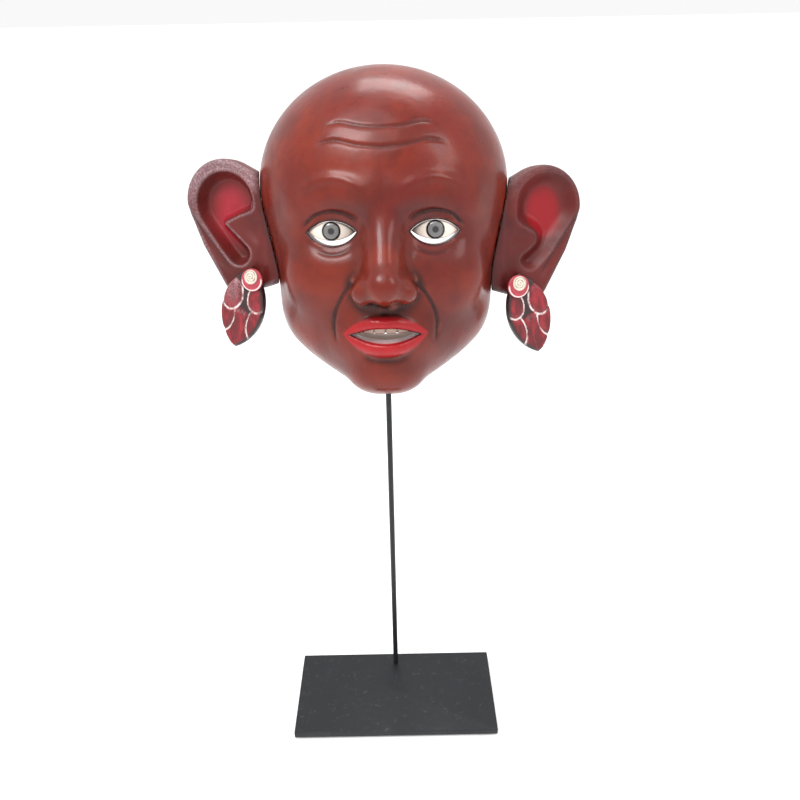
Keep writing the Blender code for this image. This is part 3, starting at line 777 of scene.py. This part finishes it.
def leather_paint():
    look = Look("washer_leather", roughness=0.75)
    tone = look.mix(look.noise(600, 5), LEATHER_DARK, LEATHER_PALE)
    return look.set(Base_Color=tone, Normal=look.bump(look.cells(2200), 0.4, 0.0002))


def steel_paint():
    look = Look("zinc_steel", roughness=0.35, metallic=1.0)
    tone = look.mix(look.noise(400, 4), DULL_GREY, STEEL_PALE)
    return look.set(Base_Color=tone, Normal=look.bump(look.noise(2500, 3), 0.15, 0.0001))


def rubber_paint():
    look = Look("pad_rubber", roughness=0.85)
    tone = look.mix(look.noise(500, 4), RUBBER_DARK, RUBBER_GREY)
    return look.set(Base_Color=tone, Normal=look.bump(look.cells(1500), 0.3, 0.0003))


def peg_paint():
    look = Look("peg_wood", roughness=0.65)
    tone = look.mix(look.noise(300, 5, 0.6, look.stretched((0.2, 1.0, 1.0))), PEG_DARK, PEG_PALE)
    grain = look.noise(900, 4, 0.6, look.stretched((0.15, 1.0, 1.0)))
    return look.set(Base_Color=tone, Normal=look.bump(grain, 0.3, 0.0003))


# ---------- pieces of the mask


def face_piece():
    step = 0.95
    low, high = (-84.6, -1.7, -105.3), (84.6, 100.4, 104.9)
    vertices, quads = sculpt(face_field, low, high, step)
    vertices, outward = settle(face_field, vertices)
    q = folded(vertices)
    x, f, z = q[:, 0], q[:, 1], q[:, 2]
    inside = np.maximum(smooth(1.2, -0.2, hollow_field(q)), smooth(1.0, 0.4, f))
    upper, lower = lips(q)
    lip = np.maximum(*[lip_paint(x, z, *line) for line in (UPPER_LIP, LOWER_LIP)]) * smooth(45, 50, f)
    # Painted shade on the inside of the mouth, behind the lips
    in_mouth = smooth(0.4, -0.2, mouth_opening(x, z)) * smooth(-3.0, -5.5, np.minimum(upper, lower))
    # How enclosed each place is, close up and wider: this sets the painted shade in hollows and corners
    tight = hollowness(face_field, vertices, outward, 1.6)
    wide = hollowness(face_field, vertices, outward, 5.0)
    lines = np.clip(carving(x, z) * smooth(20, 45, f), 0, 1)
    lid_line = smooth(1.5, 0.3, np.abs(eye_opening(x, z) - 0.4)) * smooth(40, 50, f)
    # Painted shade in the nostrils
    nostril = smooth(0.8, -0.2, capsule(q, *NOSTRIL))
    # Dark wash along the carved lines and the painted line round the lids, with painted shade in the
    # hollows, corners, nostrils and inside of the mouth
    wash = np.clip(1.1 * tight + 0.55 * smooth(0.12, 0.6, wide) + 0.75 * lines**1.3, 0, 1)
    wash = np.maximum(wash, 0.9 * lid_line)
    wash = np.maximum(wash, nostril)
    wash = np.maximum(wash, in_mouth * 0.8)
    # Paler crisp ridges on the front: partly rubbed lacquer, partly a painted highlight
    edge = sharpness(face_field, vertices, outward, 1.6)
    worn = smooth(0.22, 0.5, edge) * smooth(4, 12, f)
    mesh_piece(
        "face_carved", FACE, vertices, quads,
        face_paint(), "lacquer_red", "face_shell",
        wash=wash * (1 - inside),
        worn=worn * (1 - inside),
        lips=np.clip(lip, 0, 1) * (1 - inside),
        bare=np.clip(inside, 0, 1),
    )


def ear_frame(label, side):
    place = Vector((side * EAR_X, SOCKET_F - EAR_F, EAR_RISE[label] - SOCKET_Z)) * MM
    return MASK @ Matrix.Translation(place) @ Matrix.Rotation(side * EAR_YAW, 4, "Z")


def ear_to_head(p, label):
    """Where a place in the ear's frame is in the head's."""
    c, s = math.cos(EAR_YAW), math.sin(EAR_YAW)
    u, t, v = p[..., 0], p[..., 1], p[..., 2]
    return np.stack([EAR_X + u * c + t * s, EAR_F + t * c - u * s, v + EAR_RISE[label]], axis=-1)


FOLD_V = (-26.0, -18.0, -11.0, -3.0, 6.0, 15.0)
FOLD_U = (22.5, 28.0, 33.0, 38.5, 45.0, 51.0)


def beyond_fold(u, v):
    """How far outside the fold under the ear's rim a place is. The fold leaves the rim's widest point."""
    return u - np.interp(v, FOLD_V, FOLD_U)


# Each ear in turn: the tragus's tip and its rounding, the top and foot of the bowl's wall, the red patch
# (middle, reach, how crisp its edge is), and how worn the lacquer is
TRAGUS = {"left": ((23.0, 2.0), 0.6), "right": ((19.0, -4.0), 6.0)}
BOWL_WALL = {"left": (0.5, -6.0), "right": (1.8, -10.0)}
RED_PATCH = {"left": ((22, 8), (12.5, 18), 1.6), "right": ((26, 13), (12.5, 17), 3.5)}
WEAR = {"left": 0.9, "right": 0.15}


def ear_bowl(u, v, label):
    """Distance in the ear's plane from the hollow's outline, with the tragus pointing into it."""
    (tip_u, tip_v), round_r = TRAGUS[label]
    bowl = belt(u, v, CONCHA_CIRCLES[label])
    wedge = belt(u, v, ((tip_u - round_r, tip_v, round_r), (-8.0, 12.0, 1.0), (-4.0, -22.0, 1.0)))
    return carve(bowl, wedge, 3.5)


def ear_relief(u, v, label):
    """How far the front of the ear lies below its highest plane."""
    outline = belt(u, v, EAR_CIRCLES)
    bowl = ear_bowl(u, v, label)
    depth = CONCHA_DEPTH * smooth(*BOWL_WALL[label], bowl) ** 0.8
    past = beyond_fold(u, v)
    span = smooth(19, 10, v) * smooth(-32, -22, v)
    step_down = 1.3 * smooth(-0.4, 1.6, past) * smooth(9.0, 3.0, past) * span
    crease = 0.8 * np.exp(-((past / 0.8) ** 2)) * span
    upper_fold = np.exp(-(((-outline - 5.8) / 1.6) ** 2))
    upper_fold = upper_fold * smooth(8, 20, v) * smooth(46, 30, u) * smooth(-4, 6, u)
    dip = 1.6 * smooth(-6.0, -1.0, u) * smooth(14.0, 2.0, u) * smooth(3.0, 10.0, bowl)
    return depth + step_down + crease + 0.9 * upper_fold * (label == "left") + dip


def ear_field(p, label):
    """One ear in its own frame: u outward, t forward, v up. The head's surface trims it."""
    u, t, v = p[..., 0], p[..., 1], p[..., 2]
    outline = belt(u, v, EAR_CIRCLES)
    half = EAR_THICK / 2
    front = t - half + ear_relief(u, v, label)
    body = common(common(outline + SHRINK, front, 4.5), -t - half, 5.0)
    in_head = ear_to_head(p, label)
    body = carve(body, head_field(in_head) - GAP, 0.5)
    return carve(body, peg_cut(in_head), 0.2)


def ear_piece(label, side):
    step = 0.8
    low, high = (-22.0, -9.6, -47.5), (53.0, 9.6, 46.0)

    def field(p):
        return ear_field(p, label)

    vertices, quads = sculpt(field, low, high, step)
    vertices, outward = settle(field, vertices)
    u, _, v = vertices.T
    bowl = ear_bowl(u, v, label)
    wide = hollowness(field, vertices, outward, 4.0)
    tight = hollowness(field, vertices, outward, 1.3)
    from_head = head_field(ear_to_head(vertices, label))
    facing = smooth(0.1, 0.7, outward[:, 1])
    middle, reach, crisp = RED_PATCH[label]
    patch = ((u - middle[0]) / reach[0]) ** 2 + ((v - middle[1]) / reach[1]) ** 2
    red = np.exp(-(patch**crisp)) * smooth(0.0, -3.0, bowl) * facing
    past = beyond_fold(u, v)
    crease = np.exp(-((past / 0.9) ** 2)) * smooth(19, 10, v) * smooth(-30, -20, v) * facing
    # Painted shade in the ear's hollows and corners and along the fold under the rim, with a dark wash
    wash = 0.9 * tight + 0.6 * smooth(0.1, 0.6, wide) * (1 - 0.8 * red) + 0.9 * crease
    # Painted shade on the ear where it meets the head
    wash = wash + 0.5 * smooth(5.0, 0.5, from_head)
    outline = belt(u, v, EAR_CIRCLES)
    in_rim = np.where(v < 15, smooth(0.5, -1.0, past), 1.0) * smooth(-13, -9, outline)
    rim = in_rim * smooth(-22, 0, v) * facing * (0.45 + 0.55 * smooth(10, 30, v))
    # Paler crisp edges and the bowl's lip: partly rubbed lacquer, partly a painted highlight
    edge = smooth(0.12, 0.35, sharpness(field, vertices, outward, 1.2)) * facing
    lip = smooth(1.3, 0.2, np.abs(bowl - 0.4)) * facing
    worn = np.maximum(rim * smooth(-0.5, 1.0, bowl), 0.75 * np.maximum(edge, lip))
    worn = worn * smooth(1.0, 6.0, from_head)
    mesh_piece(
        f"{label}_ear_carved", ear_frame(label, side), vertices, quads,
        ear_paint(f"{label}_ear_lacquer", WEAR[label]), "lacquer_maroon", f"{label}_ear", side,
        wash=np.clip(wash, 0, 1),
        worn=np.clip(worn, 0, 1),
        red=np.clip(red, 0, 1),
    )


PETALS = (
    # along the leaf from its top, across it (+ outward), half-length, half-width
    (43.0, 1.0, 14.5, 10.0),
    (36.0, 11.4, 12.0, 7.6),
    (37.0, -12.0, 12.5, 7.6),
    (21.0, 9.0, 11.0, 7.9),
    (19.5, -9.0, 10.0, 7.4),
)


def petals(a, b):
    """For each place on the leaf: its petal's number, how far it is inside, and how much it faces the tip.

    Petals nearer the top of the leaf lie over the others. Between them the number is -1.
    """
    owner = np.full(np.shape(a), -1)
    edge = np.full(np.shape(a), 9.0)
    facing = np.zeros(np.shape(a))
    for number, (centre_a, centre_b, long_r, wide_r) in enumerate(PETALS):
        along, across = (a - centre_a) / long_r, (b - centre_b) / wide_r
        q = np.hypot(along, across)
        distance = (q - 1) * wide_r
        mine = distance < 0
        inner = -np.sign(centre_b) * across
        toward = (0.75 * along + 0.75 * inner) / np.maximum(q, 0.01)
        edge = np.where(mine, distance, np.where(owner < 0, np.minimum(edge, distance), edge))
        facing = np.where(mine, toward if number else 0.5 * np.abs(across) - 0.4, facing)
        owner = np.where(mine, number, owner)
    return owner, edge, facing


def leaf_coordinates(u, v):
    """Where a place in the ear's plane is on the leaf: down from its top, and across it."""
    c, s = math.cos(LEAF_TILT), math.sin(LEAF_TILT)
    du, dv = u - LEAF_CENTRE[0], v - LEAF_CENTRE[1]
    return LEAF_HALF_LENGTH + du * s - dv * c, du * c + dv * s


def leaf_outline(a, b):
    return almond(a - LEAF_HALF_LENGTH, b, LEAF_HALF_LENGTH, LEAF_HALF_WIDTH, LEAF_HALF_WIDTH)


def leaf_field(p):
    u, t, v = p[..., 0], p[..., 1], p[..., 2]
    a, b = leaf_coordinates(u, v)
    back = EAR_THICK / 2 + GAP
    owner, edge, _ = petals(a, b)
    crown = 1.4 * smooth(0.0, -3.0, edge) * (owner >= 0)
    vein = 0.8 * np.exp(-((b / 1.6) ** 2)) * smooth(16, 24, a)
    front = t - back - LEAF_THICK + LEAF_EDGE_STEP - crown + vein
    body = common(common(leaf_outline(a, b), front, 2.0), back - t, 1.6)
    hole = np.hypot(u - ORNAMENT[0], v - ORNAMENT[1]) - PIN_HOLE_R
    return carve(body, hole, 0.2)


def leaf_piece(label, side):
    step = 0.5
    low, high = (-8.0, 7.6, -82.0), (34.0, 15.4, -22.0)
    vertices, quads = sculpt(leaf_field, low, high, step)
    vertices, outward = settle(leaf_field, vertices)
    u, _, v = vertices.T
    a, b = leaf_coordinates(u, v)
    owner, edge, toward = petals(a, b)
    facing = smooth(0.2, 0.6, outward[:, 1])
    line = smooth(0.62, 0.28, np.abs(edge + 0.5)) * (owner >= 0) * smooth(-0.1, 0.3, toward) * facing
    inner_edge = smooth(2.6, 1.2, -leaf_outline(a, b))
    dark = np.maximum((owner < 0) * smooth(46, 34, a), inner_edge * smooth(2, -2, b))
    dark = np.maximum(dark, 1 - smooth(-0.1, 0.25, outward[:, 1]))
    stipple = smooth(2, 6, b) * smooth(34, 16, a) if label == "left" else 0.4 * smooth(20, 10, a)
    mesh_piece(
        f"{label}_leaf_carved", ear_frame(label, side), vertices, quads,
        leaf_paint(f"{label}_leaf_paint", label == "left"), "paint_crimson", f"{label}_earring_leaf", side,
        line=np.clip(line, 0, 1),
        dark=np.clip(dark, 0, 1),
        stipple=np.clip(stipple, 0, 1),
    )


def boss_field(p):
    u, t, v = p[..., 0] - ORNAMENT[0], p[..., 1], p[..., 2] - ORNAMENT[1]
    radius = np.hypot(u, v)
    curl, turn = np.hypot(u, v - CURL_RISE), np.arctan2(v - CURL_RISE, u)
    back = EAR_THICK / 2 + 2 * GAP + LEAF_THICK
    spiral = (curl / CURL_PITCH + turn / (2 * math.pi)) % 1.0
    groove = 0.55 * np.exp(-(((spiral - 0.5) / 0.17) ** 2)) * smooth(CURL_R + 0.3, CURL_R - 0.4, curl)
    groove = groove + 0.8 * smooth(CURL_R - 0.1, CURL_R + 0.7, curl)
    dome = BOSS_THICK - 0.1 - 0.022 * radius**2
    body = common(radius - BOSS_R, t - back - dome + groove, 0.9)
    body = common(body, back - t, 0.4)
    return carve(body, np.maximum(radius - PIN_HOLE_R, t - back - PIN_HOLE_DEPTH), 0.2)


def boss_piece(label, side, material):
    step = 0.34
    low = (ORNAMENT[0] - 8.6, 13.4, ORNAMENT[1] - 8.6)
    high = (ORNAMENT[0] + 8.6, 19.6, ORNAMENT[1] + 8.6)
    vertices, quads = sculpt(boss_field, low, high, step)
    vertices, outward = settle(boss_field, vertices)
    u, v = vertices[:, 0] - ORNAMENT[0], vertices[:, 2] - ORNAMENT[1]
    curl, radius = np.hypot(u, v - CURL_RISE), np.hypot(u, v)
    mesh_piece(
        f"{label}_rosette_carved", ear_frame(label, side), vertices, quads,
        material, "paint_cream", f"{label}_earring_boss", side,
        # Painted shade in the spiral's groove and tight corners, with dark wash
        wash=hollowness(boss_field, vertices, outward, 0.7) * 1.6,
        petal=smooth(CURL_R - 0.1, CURL_R + 0.4, curl),
        line=smooth(0.5, 0.25, np.abs(radius - BOSS_LINE_R)) * smooth(1.5, -1.0, v),
    )


def eye_frame(side):
    return MASK @ Matrix.Translation(Vector((side * EYE_X, SOCKET_F, -SOCKET_Z)) * MM)


def inlay_outline(x, z):
    return almond(x, z, EYE_HALF_WIDTH - 2 * GAP, EYE_UPPER - GAP, INLAY_LOWER)


def inlay_field(p):
    x, f, z = p[..., 0], p[..., 1], p[..., 2]
    ball = np.sqrt(x * x + (f - EYEBALL_F) ** 2 + z * z) - EYEBALL_R
    body = common(common(inlay_outline(x, z), ball, 0.8), INLAY_BACK_F - f, 0.4)
    seat = np.maximum(np.hypot(x, z - IRIS_Z) - IRIS_R - GAP, IRIS_SEAT_F - GAP - f)
    return carve(body, seat, 0.15)


def eye_piece(label, side, material):
    step = 0.45
    low, high = (-15.5, 48.8, -6.3), (15.5, 64.0, 7.3)
    vertices, quads = sculpt(inlay_field, low, high, step)
    vertices, _ = settle(inlay_field, vertices)
    x, _, z = vertices.T
    radius = np.hypot(x, z - IRIS_Z)
    mesh_piece(
        f"{label}_eye_carved", eye_frame(side), vertices, quads,
        material, "paint_cream", f"{label}_eye_inlay",
        corner=smooth(9.5, 13.5, np.abs(x)),
        ring=smooth(IRIS_R + 0.95, IRIS_R + 0.35, radius),
        # Painted shade along the inlay's upper edge, under the lid
        wash=smooth(-1.7, -0.2, inlay_outline(x, z)) * smooth(-2, 2, z + 1),
    )


def iris_piece(label, side, material):
    """The domed iris, turned from a profile, with a ring round it and a pupil in the middle."""
    sectors, dome_rows, tip_r = 48, 14, 0.01
    profile = [
        (tip_r, IRIS_SEAT_F),
        (IRIS_R - 0.25, IRIS_SEAT_F),
        (IRIS_R, IRIS_SEAT_F + 0.3),
        (IRIS_R, IRIS_RIM_F),
    ]
    for angle in np.linspace(0.12, math.pi / 2, dome_rows):
        radius = max(IRIS_R * math.cos(angle), tip_r)
        profile.append((radius, IRIS_RIM_F + IRIS_DOME * math.sin(angle)))
    vertices, quads = [], []
    for radius, f in profile:
        for i in range(sectors):
            turn = 2 * math.pi * i / sectors
            vertices.append((radius * math.cos(turn), f, IRIS_Z + radius * math.sin(turn)))
    for row in range(len(profile) - 1):
        for i in range(sectors):
            j = (i + 1) % sectors
            a, b = row * sectors, (row + 1) * sectors
            quads.append((a + i, b + i, b + j, a + j))
    vertices = np.array(vertices)
    radius = np.hypot(vertices[:, 0], vertices[:, 2] - IRIS_Z)
    pupil = smooth(2.3, 1.7, radius)
    mesh_piece(
        f"{label}_iris_domed", eye_frame(side), vertices, np.array(quads),
        material, "iris_grey", f"{label}_iris",
        ring=np.maximum(smooth(IRIS_R - 0.75, IRIS_R - 0.35, radius), pupil),
    )


def teeth_field(points):
    """A curved bar with a groove and a notch between each two teeth."""
    p = folded(points)
    x, f, z = p[..., 0], p[..., 1], p[..., 2]
    bend = np.hypot(x, f - TEETH_CENTRE_F)
    arc = np.arctan2(x, f - TEETH_CENTRE_F) * TEETH_OUTER_R
    width = 2 * math.radians(TEETH_HALF_ANGLE) * TEETH_OUTER_R / TEETH_COUNT
    beside = np.abs(arc % width - width / 2) - width / 2
    groove = 0.9 * np.exp(-((beside / 0.55) ** 2))
    ring = np.maximum(bend - TEETH_OUTER_R + groove, TEETH_INNER_R - bend)
    notch = 0.8 * np.exp(-((beside / 0.8) ** 2))
    height = np.maximum(z - TEETH_HIGH_Z, TEETH_LOW_Z + notch - z)
    side = arc - math.radians(TEETH_HALF_ANGLE) * TEETH_OUTER_R
    return common(common(ring, height, 1.2), side, 0.8)


def teeth_piece():
    step = 0.5
    low, high = (-21.5, 53.0, -62.4), (21.5, 67.6, -51.5)
    vertices, quads = sculpt(teeth_field, low, high, step)
    vertices, outward = settle(teeth_field, vertices)
    # Painted shade: darker in the grooves between the teeth and towards their top, under the upper lip
    wash = hollowness(teeth_field, vertices, outward, 1.0) * 1.5 + 0.5 * smooth(-57.5, -54, vertices[:, 2])
    mesh_piece(
        "upper_teeth_carved", FACE, vertices, quads,
        teeth_paint(), "paint_cream", "upper_teeth",
        wash=np.clip(wash, 0, 1),
    )


# ---------- the stand


def rise(edge):
    """How far a straight edge climbs."""
    return abs(edge.verts[0].co.z - edge.verts[1].co.z)


def on_rim(edge):
    """Whether an edge is level and parts the plate's top or foot from a side."""
    faces = edge.link_faces
    return rise(edge) < 1e-6 and len(faces) == 2 and abs(faces[0].normal.z - faces[1].normal.z) > 0.5


def plate_piece():
    """The base plate: a slab with softly rounded corners and edges."""
    low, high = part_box("base_plate")
    bm = bmesh.new()
    bmesh.ops.create_cube(bm, size=1.0)
    bmesh.ops.scale(bm, verts=bm.verts, vec=high - low)
    bmesh.ops.translate(bm, verts=bm.verts, vec=(high + low) / 2)
    corners = [edge for edge in bm.edges if rise(edge) > 1e-4]
    bmesh.ops.bevel(bm, geom=corners, offset=0.8 * MM, segments=4, profile=0.5, affect="EDGES")
    rims = [edge for edge in bm.edges if on_rim(edge)]
    bmesh.ops.bevel(bm, geom=rims, offset=0.45 * MM, segments=3, profile=0.5, affect="EDGES")
    mesh = bpy.data.meshes.new("base_plate_coated")
    bm.to_mesh(mesh)
    bm.free()
    mesh.shade_smooth()
    mesh.set_sharp_from_angle(angle=math.radians(35))
    made = bpy.data.objects.new("base_plate_coated", mesh)
    bpy.context.scene.collection.objects.link(made)
    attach(made, "stand")
    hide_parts("base_plate")
    made.data.materials.append(iron_paint("plate_iron"))


def give(node, material):
    """Puts a material on a CAD solid that is kept as it is."""
    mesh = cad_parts[node].data
    mesh.materials.clear()
    mesh.materials.append(material)


def stand():
    plate_piece()
    give("upright_rod", iron_paint("rod_iron", 0.34, 0.46))
    give("rest_washer", leather_paint())
    give("base_nut", steel_paint())
    give("base_pad", rubber_paint())


# ---------- floor, light, camera


def floor():
    mesh = bpy.data.meshes.new("floor")
    size = 40.0
    corners = [(-size, -size, 0), (size, -size, 0), (size, size, 0), (-size, size, 0)]
    mesh.from_pydata(corners, [], [(0, 1, 2, 3)])
    made = bpy.data.objects.new("floor", mesh)
    bpy.context.scene.collection.objects.link(made)
    look = Look("floor_white", roughness=0.9)
    made.data.materials.append(look.set(Base_Color=colour(FLOOR_WHITE)))


def panel(name, place, aim, width, height, watts):
    light = bpy.data.lights.new(name, "AREA")
    light.shape = "RECTANGLE"
    light.size, light.size_y = width, height
    light.energy = watts
    made = bpy.data.objects.new(name, light)
    made.location = place
    made.rotation_euler = (Vector(aim) - Vector(place)).to_track_quat("-Z", "Y").to_euler()
    bpy.context.scene.collection.objects.link(made)


def studio():
    world = bpy.data.worlds.new("studio")
    world.use_nodes = True
    background = world.node_tree.nodes["Background"].inputs
    background["Color"].default_value = (1.0, 1.0, 1.0, 1.0)
    background["Strength"].default_value = 0.95
    bpy.context.scene.world = world
    bpy.context.scene.view_settings.view_transform = "Standard"
    sun = bpy.data.lights.new("sky", "SUN")
    sun.angle = math.radians(50)
    sun.energy = 1.0
    sky = bpy.data.objects.new("sky", sun)
    sky.rotation_euler = (math.radians(25), math.radians(-15), 0)
    bpy.context.scene.collection.objects.link(sky)
    head = (0.0, 0.0, 0.38)
    panel("key", (-0.45, -0.45, 1.30), head, 0.5, 0.4, 6)
    panel("fill", (0.75, -0.35, 1.0), head, 0.35, 0.5, 2.0)
    panel("top", (0.1, 0.45, 1.25), head, 0.6, 0.3, 4)


def camera():
    """In front of the mask and above it, looking down, and rolled a little about its own axis."""
    down, rolled = math.radians(27.66), math.radians(-1.1)
    data = bpy.data.cameras.new("camera")
    data.sensor_width = 36.0
    data.lens = 33.6
    made = bpy.data.objects.new("camera", data)
    made.location = (0.008, -0.4382, 0.509)
    aim = Euler((math.radians(90) - down, 0, 0)).to_matrix()
    roll = Matrix.Rotation(rolled, 3, "Z")
    made.rotation_euler = (aim @ roll).to_euler()
    bpy.context.scene.collection.objects.link(made)
    bpy.context.scene.camera = made


def build():
    stand()
    face_piece()
    teeth_piece()
    eye_look, iris_look, rosette_look, peg_look = eye_paint(), iris_paint(), boss_paint(), peg_paint()
    for side, label in ((-1, "left"), (1, "right")):
        ear_piece(label, side)
        leaf_piece(label, side)
        boss_piece(label, side, rosette_look)
        eye_piece(label, side, eye_look)
        iris_piece(label, side, iris_look)
        for node in (f"{label}_ear_peg_1", f"{label}_ear_peg_2", f"{label}_earring_pin"):
            give(node, peg_look)
    floor()
    studio()
    camera()


build()
